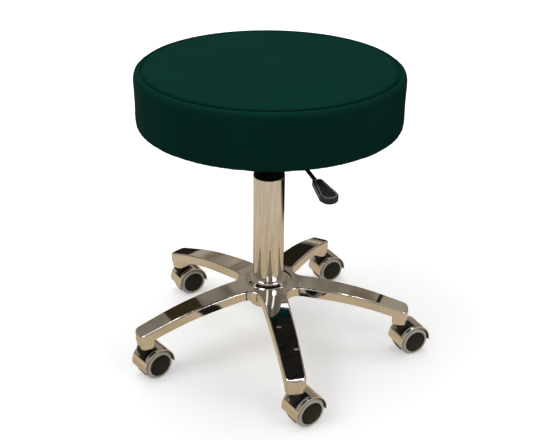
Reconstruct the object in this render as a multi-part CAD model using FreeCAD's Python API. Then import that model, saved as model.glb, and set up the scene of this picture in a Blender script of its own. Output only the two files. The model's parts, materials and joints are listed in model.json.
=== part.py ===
import FreeCAD, Part
import math
import os

from FreeCAD import Vector

# A height-adjustable rolling stool: a round upholstered seat on a gas lift column, carried by a
# five-leg base on twin-wheel casters. Millimetres and degrees. The origin is on the floor below the
# column's axis, +Z is up, and the release lever is at the front right, towards -Y.

# Clearances between pieces that fit together
running_clearance = 0.05
slide_clearance = 0.08
free_clearance = 0.3
fixed_clearance = 0.02

# Caster wheels
wheel_diameter = 50.0
wheel_rim_radius = 18.5
wheel_rim_thickness = 3.0
wheel_hub_radius = 8.0
wheel_disc_thickness = 3.0
wheel_dome = 1.2
tread_outer_round = 5.5
caster_width = 42.4
axle_diameter = 8.0
axle_cap = 4.0
axle_end_gap = 0.5

# Caster body
caster_trail = 17.5
caster_headings = [26.0, 29.0, 31.0, 40.0, 34.5]
core_thickness = 16.0
core_ground_clearance = 8.0
wheel_side_gap = 0.8
hood_gap = 1.5
hood_wall = 1.7
hood_width = 39.0
hood_front_skirt = 7.0
hood_back_skirt = 5.0
window_front = 7.0
window_back = 18.0
window_side = 4.0
window_round = 3.0
boss_diameter = 20.0
boss_rise = 6.3
neck_wall = 1.4
boss_wheel_gap = 0.5

# Caster stems, fixed in the legs
stem_diameter = 11.0
stem_depth = 28.0
stem_end_gap = 0.5
stem_insert = 20.0
stem_chamfer = 0.8
stem_collar_diameter = 17.0
stem_collar_thickness = 1.2
stem_hole_clearance = 0.12
grip_ring_height = 4.0
grip_ring_lift = 10.0
grip_ring_wall = 0.9
grip_ring_split = 1.5

# Five-leg base
leg_count = 5
first_leg_angle = -7.3
stem_circle_radius = 225.0
leg_end_reach = 10.0
leg_end_bulge = 3.0
leg_end_round = 9.0
leg_nose_round = 30.0
leg_tip_width = 32.0
leg_flare = 0.028
leg_valley_round = 20.0
leg_edge_round = 3.0
leg_tip_depth = 23.5
leg_rise = 37.5
leg_bend_radius = 66.0
leg_bend_round = 300.0
leg_crest_radius = 150.0
leg_crest_drop = 10.3
leg_arch_round = 500.0
leg_droop_length = 4.0
leg_droop = 3.0
leg_droop_round = 10.0
leg_root_radius = 60.0
leg_root_depth = 16.0
leg_middle_depth = 15.5
stem_boss_length = 26.0
stem_boss_height = 7.0
stem_boss_inset = 1.2
stem_boss_round = 8.0
leg_wall = 4.0
leg_top_wall = 4.5
leg_pockets = 3
leg_rib = 4.0
hub_wall = 7.0
hub_depth = 37.0
hub_collar_height = 5.0
hub_collar_width = 16.0

# Lift column
column_diameter = 50.0
column_wall = 1.5
column_length = 227.0
column_taper = 0.7
column_floor = 3.0
column_below_hub = 1.0
bushing_length = 80.0
bushing_flange = 1.5
bushing_land = 20.0
bushing_relief = 2.0
cylinder_diameter = 28.0
cylinder_bore = 22.0
cylinder_cap = 22.0
cylinder_taper = 0.8
cylinder_rest_gap = 4.0
cylinder_above_plate = 5.0
gland_height = 12.0
rod_diameter = 10.0
rod_tail = 7.0
rod_collar_radius = 10.0
rod_collar_height = 3.0
rod_length = 196.0
piston_height = 8.0
clip_thickness = 1.5
clip_radius = 9.0
clip_groove_depth = 1.0
race_inner_radius = 5.8
race_outer_radius = 13.0
race_thickness = 3.0
roller_diameter = 4.0
roller_length = 5.0
roller_count = 12
roller_circle_radius = 9.4

# Seat plate, its cone socket and the shroud over the column
shroud_gap = 0.8
shroud_length = 66.0
shroud_inset = 0.75
shroud_wall = 2.0
shroud_roof = 3.0
socket_wall = 5.0
socket_drop = 52.0
socket_above_plate = 3.0
plate_size = 170.0
plate_corner = 25.0
plate_thickness = 2.5
pan_radius = 60.0
pan_depth = 26.5
pan_round = 8.0
bolt_spacing = 124.0
bolt_diameter = 6.0
bolt_head_width = 10.0
bolt_head_height = 4.0
bolt_head_sides = 6
bolt_hole_clearance = 0.3
t_nut_radius = 4.0
t_nut_flange_radius = 9.5
t_nut_flange_thickness = 1.5

# Release lever
lever_angle = -69.5
lever_droop = 5.6
lever_pivot_reach = 30.0
lever_pivot_below_seat = 10.9
lever_tail = 37.0
lever_rod_diameter = 6.0
lever_rod_reach = 174.0
lever_slot_width = 11.0
lever_slot_below = 3.0
lever_slot_above = 6.0
trunnion_radius = 6.0
trunnion_length = 14.0
trunnion_pin_radius = 2.5
trunnion_pin_overhang = 1.0
ear_offset = 9.0
ear_thickness = 2.5
ear_radius = 6.0
paddle_start = 155.0
paddle_length = 56.0
paddle_neck_width = 14.0
paddle_width = 30.0
paddle_thickness = 9.0
paddle_neck_round = 4.0
paddle_end_round = 13.0
paddle_edge_round = 1.5
paddle_rim = 3.0
paddle_recess = 0.8
paddle_scallops = 3
paddle_scallop_radius = 6.0
paddle_scallop_pitch = 9.0
paddle_scallop_depth = 1.4
paddle_scallop_from_end = 8.0
button_diameter = 8.0
button_round = 1.5
button_lever_gap = 0.8
button_depth = 9.0
button_well = 14.0

# Seat
seat_diameter = 406.0
seat_thickness = 84.5
seat_crown = 4.0
seat_draw_in = 1.2
seat_top_roll = 10.0
seat_top_roll_width = 5.5
seat_bottom_round = 7.0
seam_inset = 12.5
seam_depth = 1.1
seam_width = 1.6
cover_thickness = 1.5
cover_turn_under = 45.0
board_thickness = 12.0
board_edge_gap = 1.0

# Heights that follow from the sizes above
wheel_radius = wheel_diameter / 2
axle_height = wheel_radius
axle_radius = axle_diameter / 2
hood_inner_radius = wheel_radius + hood_gap
hood_outer_radius = hood_inner_radius + hood_wall
boss_top = axle_height + hood_outer_radius + boss_rise
leg_underside = boss_top + free_clearance + stem_collar_thickness
leg_tip_top = leg_underside + leg_tip_depth
hub_top = leg_tip_top + leg_rise
hub_bottom = hub_top - hub_depth
leg_end_radius = stem_circle_radius + leg_end_reach

column_radius = column_diameter / 2
column_bottom = hub_bottom - column_below_hub
column_top = column_bottom + column_length
column_floor_top = column_bottom + column_floor
column_bore_radius = column_radius - column_wall
cylinder_radius = cylinder_diameter / 2
rod_radius = rod_diameter / 2
roller_radius = roller_diameter / 2
roller_height = column_floor_top + race_thickness + fixed_clearance + roller_radius
upper_race_bottom = roller_height + roller_radius + fixed_clearance
rod_collar_bottom = upper_race_bottom + race_thickness
cylinder_bottom = rod_collar_bottom + rod_collar_height + cylinder_rest_gap

shroud_bottom = column_top + bushing_flange + shroud_gap
plate_floor = shroud_bottom + shroud_length
plate_floor_top = plate_floor + plate_thickness
seat_bottom = plate_floor + pan_depth
socket_top = plate_floor_top + socket_above_plate
socket_bottom = socket_top - socket_drop
socket_radius = cylinder_radius + socket_wall
cylinder_top = plate_floor_top + cylinder_above_plate
board_bottom = seat_bottom + cover_thickness
board_top = board_bottom + board_thickness
lever_pivot_height = seat_bottom - lever_pivot_below_seat
seat_radius = seat_diameter / 2
stem_radius = stem_diameter / 2
lever_rod_radius = lever_rod_diameter / 2
button_radius = button_diameter / 2

leg_angles = [first_leg_angle + index * 360.0 / leg_count for index in range(leg_count)]
up = Vector(0, 0, 1)


# Helpers for outlines and solids

def rounded_corner(before, corner, after, radius):
    """Start, middle and end of the arc that rounds one corner of an outline."""
    to_before = (before - corner).normalize()
    to_after = (after - corner).normalize()
    half_angle = math.acos(max(-1.0, min(1.0, to_before.dot(to_after)))) / 2
    length = radius / math.tan(half_angle)
    inward = (to_before + to_after).normalize()
    middle = corner + inward * (radius / math.sin(half_angle) - radius)
    return corner + to_before * length, middle, corner + to_after * length


def rounded_wire(corners):
    """Closed outline through (point, radius) corners, with each corner rounded by its radius."""
    edges = []
    count = len(corners)
    ends = []
    for index in range(count):
        point, radius = corners[index]
        before = corners[index - 1][0]
        after = corners[(index + 1) % count][0]
        if radius > 0:
            ends.append(rounded_corner(before, point, after, radius))
        else:
            ends.append((point, None, point))
    for index in range(count):
        start, middle, finish = ends[index]
        if middle is not None:
            edges.append(Part.Arc(start, middle, finish).toShape())
        following = ends[(index + 1) % count][0]
        if finish.distanceToPoint(following) > 1e-6:
            edges.append(Part.LineSegment(finish, following).toShape())
    return Part.Wire(edges)


def plan_prism(corners, bottom, top):
    """Upright prism on a plan outline of (x, y, radius) corners."""
    wire = rounded_wire([(Vector(x, y, bottom), radius) for x, y, radius in corners])
    return Part.Face(wire).extrude(Vector(0, 0, top - bottom))


def turned(corners):
    """Solid of revolution about Z from (radius, height) or (radius, height, round) corners."""
    rounded = [(Vector(corner[0], 0, corner[1]), corner[2] if len(corner) > 2 else 0) for corner in corners]
    return Part.Face(rounded_wire(rounded)).revolve(Vector(0, 0, 0), up, 360)


def dome_arc(edge_radius, edge_height, crest_height):
    """Arc of a shallow dome from its edge up to its crest on the Z axis, centred on that axis."""
    rise = crest_height - edge_height
    radius = (edge_radius ** 2 + rise ** 2) / (2 * rise)
    half_angle = math.asin(edge_radius / radius) / 2
    centre = crest_height - radius
    middle = Vector(radius * math.sin(half_angle), 0, centre + radius * math.cos(half_angle))
    return Part.Arc(Vector(edge_radius, 0, edge_height), middle, Vector(0, 0, crest_height)).toShape()


def tube(outer, inner, bottom, top):
    return turned([(inner, bottom), (outer, bottom), (outer, top), (inner, top)])


def disc(radius, bottom, top, x=0.0, y=0.0):
    return Part.makeCylinder(radius, top - bottom, Vector(x, y, bottom), up)


def block(x_low, x_high, y_low, y_high, z_low, z_high):
    return Part.makeBox(x_high - x_low, y_high - y_low, z_high - z_low, Vector(x_low, y_low, z_low))


def rotated(shape, degrees, centre=Vector(0, 0, 0), axis=up):
    copy = shape.copy()
    copy.rotate(centre, axis, degrees)
    return copy


def moved(shape, x=0.0, y=0.0, z=0.0):
    copy = shape.copy()
    copy.translate(Vector(x, y, z))
    return copy


def fused(pieces):
    return pieces[0].fuse(pieces[1:]).removeSplitter()


def save(name, shape):
    if not shape.isValid():
        raise ValueError(name + " is not a valid shape")
    shape.exportStep("parts/" + name + ".step")


# Caster, with its stem on the Z axis and its wheels trailing towards +X

wheel_inner_face = core_thickness / 2 + wheel_side_gap
wheel_outer_face = caster_width / 2 - wheel_dome
axle_bore_end = caster_width / 2 - axle_cap


def on_axle(shape, side):
    """Turn a wheel built about Z so that its axis lies along the axle, on one side of the core."""
    upright = rotated(shape, -90 * side, axis=Vector(1, 0, 0))
    return moved(upright, x=caster_trail, z=axle_height)


def wheel_hub():
    """Moulded wheel centre: a domed outer disc, a rim under the tread and a sleeve on the axle."""
    bore = axle_radius + running_clearance
    rim_inner = wheel_rim_radius - wheel_rim_thickness
    disc_inner = wheel_outer_face - wheel_disc_thickness
    apex = Vector(0, 0, caster_width / 2)
    dome_edge = Vector(wheel_rim_radius, 0, wheel_outer_face)
    corners = [apex, Vector(0, 0, axle_bore_end), Vector(bore, 0, axle_bore_end),
               Vector(bore, 0, wheel_inner_face), Vector(wheel_hub_radius, 0, wheel_inner_face),
               Vector(wheel_hub_radius, 0, disc_inner), Vector(rim_inner, 0, disc_inner),
               Vector(rim_inner, 0, wheel_inner_face), Vector(wheel_rim_radius, 0, wheel_inner_face),
               dome_edge]
    edges = [Part.LineSegment(a, b).toShape() for a, b in zip(corners, corners[1:])]
    edges.append(dome_arc(wheel_rim_radius, wheel_outer_face, caster_width / 2))
    return Part.Face(Part.Wire(edges)).revolve(Vector(0, 0, 0), up, 360)


def wheel_tread():
    """Soft ring over the rim, rounded where it turns out to the domed disc."""
    inner = wheel_rim_radius + fixed_clearance
    return turned([(inner, wheel_inner_face), (wheel_radius, wheel_inner_face),
                   (wheel_radius, wheel_outer_face, tread_outer_round), (inner, wheel_outer_face)])


def caster_axle():
    half_length = axle_bore_end - axle_end_gap
    pin = disc(axle_radius, -half_length, half_length)
    return on_axle(pin, 1)


def caster_core():
    """Black centre body between the wheels: a web under the hood, a neck and the stem boss."""
    web = disc(hood_inner_radius - fixed_clearance, -core_thickness / 2, core_thickness / 2)
    web = on_axle(web, 1)
    reach = 2 * hood_outer_radius
    below = block(-reach, caster_trail + reach, -reach, reach, -reach, core_ground_clearance)
    boss_bottom = wheel_diameter + boss_wheel_gap
    neck = disc(stem_radius + neck_wall, axle_height, boss_bottom + free_clearance)
    boss = disc(boss_diameter / 2, boss_bottom, boss_top)
    stem_bore = disc(stem_radius + running_clearance, boss_top - stem_depth, boss_top + free_clearance)
    axle_bore = on_axle(disc(axle_radius + fixed_clearance, -core_thickness, core_thickness), 1)
    return fused([web.cut(below), neck, boss]).cut(stem_bore).cut(axle_bore)


def caster_hood():
    """Bright arched shell over both wheels, with a window round the stem boss."""
    def on_arc(radius, degrees):
        angle = math.radians(degrees)
        return Vector(caster_trail + radius * math.cos(angle), -hood_width / 2,
                      axle_height + radius * math.sin(angle))

    first = -hood_back_skirt
    last = 180 + hood_front_skirt
    crown = (first + last) / 2
    outer = Part.Arc(*[on_arc(hood_outer_radius, angle) for angle in (first, crown, last)]).toShape()
    inner = Part.Arc(*[on_arc(hood_inner_radius, angle) for angle in (last, crown, first)]).toShape()
    front = Part.LineSegment(on_arc(hood_outer_radius, last), on_arc(hood_inner_radius, last)).toShape()
    back = Part.LineSegment(on_arc(hood_inner_radius, first), on_arc(hood_outer_radius, first)).toShape()
    shell = Part.Face(Part.Wire([outer, front, inner, back])).extrude(Vector(0, hood_width, 0))
    half = hood_width / 2 - window_side
    corners = [(-window_front, -half, window_round), (window_back, -half, window_round),
               (window_back, half, window_round), (-window_front, half, window_round)]
    return shell.cut(plan_prism(corners, axle_height, boss_top))


def caster_stem():
    """Swivel pin: pressed into the leg above its collar, and turning in the core below it."""
    top = leg_underside + stem_insert
    groove_bottom = leg_underside + grip_ring_lift
    groove_top = groove_bottom + grip_ring_height + 2 * fixed_clearance
    groove_radius = stem_radius - grip_ring_wall
    bottom = boss_top - stem_depth + stem_end_gap
    collar_radius = stem_collar_diameter / 2
    collar_bottom = leg_underside - stem_collar_thickness
    return turned([(0, bottom), (stem_radius, bottom), (stem_radius, collar_bottom),
                   (collar_radius, collar_bottom), (collar_radius, leg_underside),
                   (stem_radius, leg_underside), (stem_radius, groove_bottom),
                   (groove_radius, groove_bottom), (groove_radius, groove_top), (stem_radius, groove_top),
                   (stem_radius, top - stem_chamfer), (stem_radius - stem_chamfer, top), (0, top)])


def stem_grip_ring():
    """Split ring in the stem's groove that holds the stem in its leg."""
    bottom = leg_underside + grip_ring_lift + fixed_clearance
    inner = stem_radius - grip_ring_wall + fixed_clearance
    outer = stem_radius + stem_hole_clearance - fixed_clearance
    top = bottom + grip_ring_height
    split = block(0, 2 * outer, -grip_ring_split / 2, grip_ring_split / 2, bottom, top)
    return tube(outer, inner, bottom, top).cut(split)


def at_leg(shape, leg_angle, heading):
    """Place a caster piece at the end of one leg, turned to its heading."""
    angle = math.radians(leg_angle)
    turned_shape = rotated(shape, heading)
    return moved(turned_shape, stem_circle_radius * math.cos(angle), stem_circle_radius * math.sin(angle))


# Five-leg base

def leg_half_width(radius):
    return leg_tip_width / 2 + (leg_end_radius - radius) * leg_flare


def star_outline():
    """Plan outline of all the legs: rounded noses and wide rounded valleys between legs."""
    half_step = math.radians(180.0 / leg_count)
    valley_x = (leg_tip_width / 2 + leg_end_radius * leg_flare) / (math.tan(half_step) + leg_flare)
    valley = valley_x / math.cos(half_step)
    shoulder = leg_end_radius - leg_end_bulge
    outline = []
    for leg_angle in leg_angles:
        angle = math.radians(leg_angle)

        def in_plan(along, across):
            return (along * math.cos(angle) - across * math.sin(angle),
                    along * math.sin(angle) + across * math.cos(angle))

        half_width = leg_half_width(shoulder)
        outline.append((*in_plan(shoulder, -half_width), leg_end_round))
        outline.append((*in_plan(leg_end_radius, 0), leg_nose_round))
        outline.append((*in_plan(shoulder, half_width), leg_end_round))
        bisector = angle + half_step
        outline.append((valley * math.cos(bisector), valley * math.sin(bisector), leg_valley_round))
    return outline


leg_outer_end = leg_end_radius + leg_end_bulge


leg_middle = (leg_root_radius + leg_outer_end) / 2


def between(along, near, near_height, far, far_height):
    return near_height + (far_height - near_height) * (along - near) / (far - near)


def leg_top_height(along):
    """Height of a leg's top at a distance along the leg, before its corners are rounded."""
    crest_height = hub_top - leg_crest_drop
    if along < leg_bend_radius:
        return hub_top
    if along < leg_crest_radius:
        return between(along, leg_bend_radius, hub_top, leg_crest_radius, crest_height)
    return between(along, leg_crest_radius, crest_height, leg_outer_end, leg_tip_top)


def leg_floor_height(along):
    """Height of the underside on the outer half of a leg."""
    middle_height = leg_top_height(leg_middle) - leg_middle_depth
    return between(along, leg_middle, middle_height, leg_outer_end, leg_underside + stem_boss_height)


def leg_slab():
    """Side form of one leg along +X: level at the hub, arched above and below, with a drooping nose."""
    nose = leg_end_radius - leg_droop_length
    root_height = hub_top - leg_root_depth
    inner_slope = math.atan2(leg_crest_drop, leg_crest_radius - leg_bend_radius)
    outer_slope = math.atan2(leg_rise - leg_crest_drop, leg_outer_end - leg_crest_radius)
    arch_room = nose - leg_crest_radius - leg_droop_length
    arch_round = min(leg_arch_round, arch_room / math.tan((outer_slope - inner_slope) / 2))
    side = [(0, root_height, 0), (0, hub_top, 0), (leg_bend_radius, hub_top, leg_bend_round),
            (leg_crest_radius, leg_top_height(leg_crest_radius), arch_round),
            (nose, leg_top_height(nose), leg_droop_round), (leg_outer_end, leg_tip_top - leg_droop, 0),
            (leg_outer_end, leg_floor_height(leg_outer_end), 0),
            (leg_middle, leg_floor_height(leg_middle), leg_arch_round), (leg_root_radius, root_height, 0)]
    half = leg_root_radius / 2
    wire = rounded_wire([(Vector(along, -half, height), radius) for along, height, radius in side])
    return Part.Face(wire).extrude(Vector(0, 2 * half, 0))


def stem_boss():
    """Boss under the end of one leg along +X that takes the caster's stem."""
    start = leg_end_radius - stem_boss_length
    end = leg_end_radius - leg_end_bulge
    half = leg_tip_width / 2 - stem_boss_inset
    corners = [(start, -half, stem_boss_round), (end, -half, stem_boss_round),
               (end, half, stem_boss_round), (start, half, stem_boss_round)]
    return plan_prism(corners, leg_underside, leg_floor_height(start) + free_clearance)


def hub_collar():
    """Swept collar where the hub's top rises to the column."""
    foot = column_radius + hub_collar_width
    top = hub_top + hub_collar_height
    sweep = (hub_collar_width ** 2 + hub_collar_height ** 2) / (2 * hub_collar_height)
    half_angle = math.asin(hub_collar_width / sweep) / 2
    middle = Vector(foot - sweep * math.sin(half_angle), 0, hub_top + sweep * (1 - math.cos(half_angle)))
    inner = column_radius - hub_wall
    corners = [Vector(foot, 0, hub_top), Vector(inner, 0, hub_top), Vector(inner, 0, top),
               Vector(column_radius, 0, top)]
    edges = [Part.LineSegment(start, end).toShape() for start, end in zip(corners, corners[1:])]
    edges.append(Part.Arc(corners[-1], middle, corners[0]).toShape())
    return Part.Face(Part.Wire(edges)).revolve(Vector(0, 0, 0), up, 360)


def is_leg_rim(edge):
    """True for the edges round the top of the legs, which are rounded over."""
    middle = edge.valueAt((edge.FirstParameter + edge.LastParameter) / 2)
    half_step = math.radians(180.0 / leg_count)
    for leg_angle in leg_angles:
        angle = math.radians(leg_angle)
        along = middle.x * math.cos(angle) + middle.y * math.sin(angle)
        across = abs(middle.y * math.cos(angle) - middle.x * math.sin(angle))
        on_nose = along > leg_end_radius - leg_end_bulge
        beside = leg_tip_width / 4 < across < along * math.tan(half_step) + free_clearance
        near_top = abs(middle.z - leg_top_height(along)) < leg_root_depth / 3
        if along > 0 and (on_nose or beside) and near_top:
            return True
    return False


def leg_pocket_hollows():
    """Hollows under one leg along +X, with cross ribs between them and a sloping ceiling."""
    first = leg_root_radius
    last = leg_end_radius - stem_boss_length - leg_wall
    length = (last - first - (leg_pockets - 1) * leg_rib) / leg_pockets
    floor = leg_underside - leg_wall
    hollows = []
    for index in range(leg_pockets):
        near = first + index * (length + leg_rib)
        far = near + length
        half = leg_half_width(far) - leg_wall
        side = [(near, floor), (far, floor), (far, leg_top_height(far) - leg_top_wall),
                (near, leg_top_height(near) - leg_top_wall), (near, floor)]
        wire = Part.makePolygon([Vector(along, -half, height) for along, height in side])
        hollows.append(Part.Face(wire).extrude(Vector(0, 2 * half, 0)))
    return hollows


def hub_bore():
    """Tapered seat for the column's lower end."""
    low = column_radius - column_taper + fixed_clearance
    high = column_radius + fixed_clearance
    top = hub_top + hub_collar_height + free_clearance
    return turned([(0, hub_bottom - free_clearance), (low, hub_bottom - free_clearance), (low, hub_bottom),
                   (high, hub_top), (high, top), (0, top)])


def base_star():
    """Cast base: sloping legs of one piece with the hub, ribbed hollow underneath."""
    outline = plan_prism(star_outline(), leg_underside - leg_wall, hub_top + leg_wall)
    slabs = [rotated(leg_slab(), leg_angle) for leg_angle in leg_angles]
    star = fused(slabs).common(outline).removeSplitter()
    star = star.makeFillet(leg_edge_round, [edge for edge in star.Edges if is_leg_rim(edge)])
    pockets = [rotated(hollow, leg_angle) for hollow in leg_pocket_hollows() for leg_angle in leg_angles]
    hub = disc(column_radius + hub_wall, hub_bottom, hub_top - leg_top_wall)
    bosses = [rotated(stem_boss(), leg_angle) for leg_angle in leg_angles]
    star = star.cut(pockets).fuse([hub, hub_collar()] + bosses).removeSplitter().cut(hub_bore())
    hole_top = leg_underside + stem_insert + stem_end_gap
    hole = disc(stem_radius + stem_hole_clearance, leg_underside - leg_wall, hole_top)
    return star.cut([at_leg(hole, leg_angle, 0) for leg_angle in leg_angles])


# Lift column

def column_tube():
    """Outer tube with a tapered foot and a floor that the thrust bearing stands on."""
    hole = rod_radius + free_clearance
    foot = column_radius - column_taper
    return turned([(hole, column_bottom), (foot, column_bottom), (foot, hub_bottom),
                   (column_radius, hub_top), (column_radius, column_top),
                   (column_bore_radius, column_top), (column_bore_radius, hub_top),
                   (foot - column_wall, column_floor_top), (hole, column_floor_top)])


def guide_bushing():
    """Sliding guide in the top of the tube, with a flange on its rim and a relief at mid length."""
    inner = cylinder_radius + slide_clearance
    outer = column_bore_radius - fixed_clearance
    bottom = column_top - bushing_length
    top = column_top + bushing_flange
    relief = inner + bushing_relief
    return turned([(inner, bottom), (outer, bottom), (outer, column_top), (column_radius, column_top),
                   (column_radius, top), (inner, top), (inner, column_top - bushing_land),
                   (relief, column_top - bushing_land), (relief, bottom + bushing_land),
                   (inner, bottom + bushing_land)])


def thrust_race(bottom):
    return tube(race_outer_radius, race_inner_radius, bottom, bottom + race_thickness)


def thrust_rollers():
    """Short rollers that lie like spokes between the two races."""
    start = Vector(roller_circle_radius - roller_length / 2, 0, roller_height)
    roller = Part.makeCylinder(roller_radius, roller_length, start, Vector(1, 0, 0))
    step = 360.0 / roller_count
    return Part.makeCompound([rotated(roller, index * step) for index in range(roller_count)])


def piston_rod():
    """Rod that the cylinder slides on: a clip groove, a collar on the bearing and the piston on top."""
    bottom = column_bottom - rod_tail
    collar_top = rod_collar_bottom + rod_collar_height
    top = column_bottom + rod_length
    groove_top = column_bottom - free_clearance
    groove_bottom = groove_top - clip_thickness - 2 * fixed_clearance
    groove_radius = rod_radius - clip_groove_depth
    piston_radius = cylinder_bore / 2 - slide_clearance
    return turned([(0, bottom), (rod_radius, bottom), (rod_radius, groove_bottom),
                   (groove_radius, groove_bottom), (groove_radius, groove_top), (rod_radius, groove_top),
                   (rod_radius, rod_collar_bottom), (rod_collar_radius, rod_collar_bottom),
                   (rod_collar_radius, collar_top),
                   (rod_radius, collar_top), (rod_radius, top - piston_height),
                   (piston_radius, top - piston_height), (piston_radius, top), (0, top)])


def rod_clip():
    """Open retaining clip under the column's floor."""
    top = column_bottom - free_clearance - fixed_clearance
    inner = rod_radius - clip_groove_depth + fixed_clearance
    ring = tube(clip_radius, inner, top - clip_thickness, top)
    mouth = block(0, 2 * clip_radius, -inner, inner, top - clip_thickness, top)
    return ring.cut(mouth)


def cylinder_taper_radius(height):
    """Outer radius of the cylinder's tapered head at a height inside the cone socket."""
    share = (height - socket_bottom) / (cylinder_top - socket_bottom)
    return cylinder_radius - cylinder_taper * share


def gas_cylinder():
    """Pressure tube with a tapered head for the socket and a well for the valve button."""
    bore = cylinder_bore / 2
    well = button_radius + free_clearance
    chamber_top = cylinder_top - cylinder_cap
    return turned([(bore, cylinder_bottom), (cylinder_radius, cylinder_bottom),
                   (cylinder_radius, socket_bottom),
                   (cylinder_taper_radius(cylinder_top), cylinder_top), (well, cylinder_top),
                   (well, cylinder_top - button_well), (0, cylinder_top - button_well), (0, chamber_top),
                   (bore, chamber_top)])


def cylinder_gland():
    return tube(cylinder_bore / 2 - fixed_clearance, rod_radius + running_clearance,
                cylinder_bottom, cylinder_bottom + gland_height)


# Seat plate and release lever, built with the lever along +X and turned to its place

def in_seat(shape):
    return rotated(shape, lever_angle)


def along_lever(shape):
    """Tilt a piece built along +X from the pivot so that it follows the drooping lever."""
    tilted = rotated(shape, lever_droop, axis=Vector(0, 1, 0))
    return moved(tilted, x=lever_pivot_reach, z=lever_pivot_height)


def rod_along_x(radius, start, end):
    return Part.makeCylinder(radius, end - start, Vector(start, 0, 0), Vector(1, 0, 0))


def pin_along_y(radius, half_length, x=0.0, z=0.0):
    return Part.makeCylinder(radius, 2 * half_length, Vector(x, -half_length, z), Vector(0, 1, 0))


def bolt_places():
    half = bolt_spacing / 2
    return [(-half, -half), (half, -half), (half, half), (-half, half)]


def column_shroud():
    """Black sleeve that hides the cylinder between the seat plate and the column."""
    outer = column_radius - shroud_inset
    inner = outer - shroud_wall
    hole = socket_radius + fixed_clearance
    roof_bottom = plate_floor - shroud_roof
    return turned([(inner, shroud_bottom), (outer, shroud_bottom), (outer, plate_floor),
                   (hole, plate_floor), (hole, roof_bottom), (inner, roof_bottom)])


def cone_socket():
    """Tapered socket welded into the seat plate, seated on the cylinder's head."""
    low = cylinder_taper_radius(socket_bottom) + fixed_clearance
    high = cylinder_taper_radius(socket_top) + fixed_clearance
    return turned([(low, socket_bottom), (socket_radius, socket_bottom), (socket_radius, socket_top),
                   (high, socket_top)])


def seat_plate():
    """Pressed plate with a round pan for the lever, pivot ears and four bolt holes."""
    half = plate_size / 2
    corners = [(-half, -half, plate_corner), (half, -half, plate_corner),
               (half, half, plate_corner), (-half, half, plate_corner)]
    pan_inner = pan_radius - plate_thickness
    flange_bottom = seat_bottom - plate_thickness
    flange = plan_prism(corners, flange_bottom, seat_bottom)
    flange = flange.cut(disc(pan_inner, flange_bottom, seat_bottom))
    hole = socket_radius + fixed_clearance
    pan = turned([(hole, plate_floor), (pan_radius, plate_floor, pan_round), (pan_radius, seat_bottom),
                  (pan_inner, seat_bottom), (pan_inner, plate_floor_top, pan_round - plate_thickness),
                  (hole, plate_floor_top)])
    ears = []
    for side in (-1, 1):
        low = side * ear_offset
        high = side * (ear_offset + ear_thickness)
        foot = block(lever_pivot_reach - ear_radius, lever_pivot_reach + ear_radius, min(low, high),
                     max(low, high), plate_floor_top - fixed_clearance, lever_pivot_height)
        eye_centre = Vector(lever_pivot_reach, min(low, high), lever_pivot_height)
        eye = Part.makeCylinder(ear_radius, ear_thickness, eye_centre, Vector(0, 1, 0))
        ears.extend([foot, eye])
    plate = fused([flange, pan] + ears)
    pin_hole = pin_along_y(trunnion_pin_radius + running_clearance, pan_inner / 2, lever_pivot_reach,
                           lever_pivot_height)
    rod_drop = (pan_radius - lever_pivot_reach) * math.tan(math.radians(lever_droop))
    rod_height = lever_pivot_height - rod_drop
    slot_low = rod_height - lever_rod_radius - lever_slot_below
    slot_high = rod_height + lever_rod_radius + lever_slot_above
    slot = block((pan_radius + lever_pivot_reach) / 2, pan_radius + plate_thickness,
                 -lever_slot_width / 2, lever_slot_width / 2, slot_low, min(slot_high, flange_bottom))
    holes = [disc(bolt_diameter / 2 + bolt_hole_clearance, flange_bottom, seat_bottom, x, y)
             for x, y in bolt_places()]
    return plate.cut([pin_hole, slot] + holes)


def lever_rod():
    return along_lever(rod_along_x(lever_rod_radius, -lever_tail, lever_rod_reach))


def lever_trunnion():
    """Sleeve pressed on the rod, with the two pivot pins that turn in the plate's ears."""
    pin_half = ear_offset + ear_thickness + trunnion_pin_overhang
    sleeve = rod_along_x(trunnion_radius, -trunnion_length / 2, trunnion_length / 2)
    pins = pin_along_y(trunnion_pin_radius, pin_half)
    bore = rod_along_x(lever_rod_radius + fixed_clearance, -trunnion_length, trunnion_length)
    return along_lever(fused([sleeve, pins]).cut(bore))


def paddle_outline(inset):
    start = paddle_start + inset
    end = paddle_start + paddle_length - inset
    neck = paddle_neck_width / 2 - inset
    wide = paddle_width / 2 - inset
    neck_round = max(paddle_neck_round - inset, paddle_recess)
    end_round = paddle_end_round - inset
    return [(start, -neck, neck_round), (end, -wide, end_round), (end, wide, end_round),
            (start, neck, neck_round)]


def lever_paddle():
    """Teardrop finger plate with a recessed top and finger scallops under its end."""
    half = paddle_thickness / 2
    plate = plan_prism(paddle_outline(0), -half, half)
    rims = [edge for edge in plate.Edges if edge.BoundBox.ZLength < half]
    plate = plate.makeFillet(paddle_edge_round, rims)
    recess = plan_prism(paddle_outline(paddle_rim), half - paddle_recess, half + paddle_recess)
    centre_depth = half + paddle_scallop_radius - paddle_scallop_depth
    scallops = []
    for index in range(paddle_scallops):
        along = paddle_start + paddle_length - paddle_scallop_from_end - index * paddle_scallop_pitch
        scallops.append(pin_along_y(paddle_scallop_radius, paddle_width, along, -centre_depth))
    bore = rod_along_x(lever_rod_radius + fixed_clearance, 0, lever_rod_reach + fixed_clearance)
    return along_lever(plate.cut([recess, bore] + scallops))


def valve_button():
    """Release pin that stands out of the cylinder's head, just below the lever's inner end."""
    tail_drop = lever_rod_radius / math.cos(math.radians(lever_droop))
    rod_height = lever_pivot_height + lever_pivot_reach * math.tan(math.radians(lever_droop))
    top = rod_height - tail_drop - button_lever_gap
    return turned([(0, cylinder_top - button_depth), (button_radius, cylinder_top - button_depth),
                   (button_radius, top, button_round), (0, top)])


# Seat

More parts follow.
